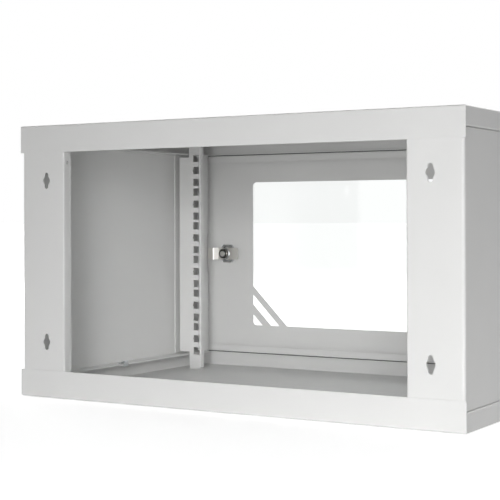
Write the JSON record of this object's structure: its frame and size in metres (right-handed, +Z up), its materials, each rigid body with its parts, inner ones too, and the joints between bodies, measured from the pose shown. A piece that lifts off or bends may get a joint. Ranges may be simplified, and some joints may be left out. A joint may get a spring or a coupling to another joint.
{
  "type": "rack cabinet",
  "caption": "Wall-mounted 19-inch rack cabinet, open at the back, with folded steel pans and sides, square-hole rails and a hinged windowed door with a cam lock.",
  "frame": {"origin": "middle of the underside of the whole cabinet, door included", "axes": "+Z up, the door faces -Y, the open back faces the wall at +Y, +X to the right seen from the door"},
  "size_m": [0.544, 0.365, 0.306],
  "materials": {
    "grey_powder_coat": "semi-matt light grey powder coat, fine texture",
    "zinc_plate": "bright zinc plating",
    "chrome_plate": "polished nickel-chrome plating",
    "clear_glass": "clear polished toughened glass",
    "black_tape": "matt black foam tape",
    "white_nylon": "natural nylon"
  },
  "bodies": {
    "cabinet": {"top_pan": "grey_powder_coat", "bottom_pan": "grey_powder_coat", "side_panel_left": "grey_powder_coat", "side_panel_right": "grey_powder_coat", "front_post_left": "grey_powder_coat", "front_post_right": "grey_powder_coat", "rail_left": "grey_powder_coat", "rail_right": "grey_powder_coat", "edge_clips": "zinc_plate", "earth_washer": "zinc_plate", "earth_nut": "zinc_plate", "hinge_pin_lower": "zinc_plate", "hinge_pin_upper": "zinc_plate"},
    "door": {"door_panel": "grey_powder_coat", "glass_pane": "clear_glass", "glazing_tape": "black_tape", "hinge_bush_lower": "white_nylon", "hinge_bush_upper": "white_nylon", "lock_housing": "chrome_plate", "lock_nut": "chrome_plate"},
    "lock": {"lock_plug": "chrome_plate", "lock_cam": "chrome_plate", "cam_washer": "chrome_plate", "cam_nut": "chrome_plate"}
  },
  "joints": [
    {"name": "door_hinge", "type": "hinge", "parent": "cabinet", "child": "door", "pos_m": [-0.2645, -0.1727, 0.153], "axis": [0, 0, -1], "range_deg": [0, 130]},
    {"name": "lock_turn", "type": "hinge", "parent": "door", "child": "lock", "pos_m": [0.225, -0.1675, 0.153], "axis": [0, 1, 0], "range_deg": [0, 90]}
  ]
}
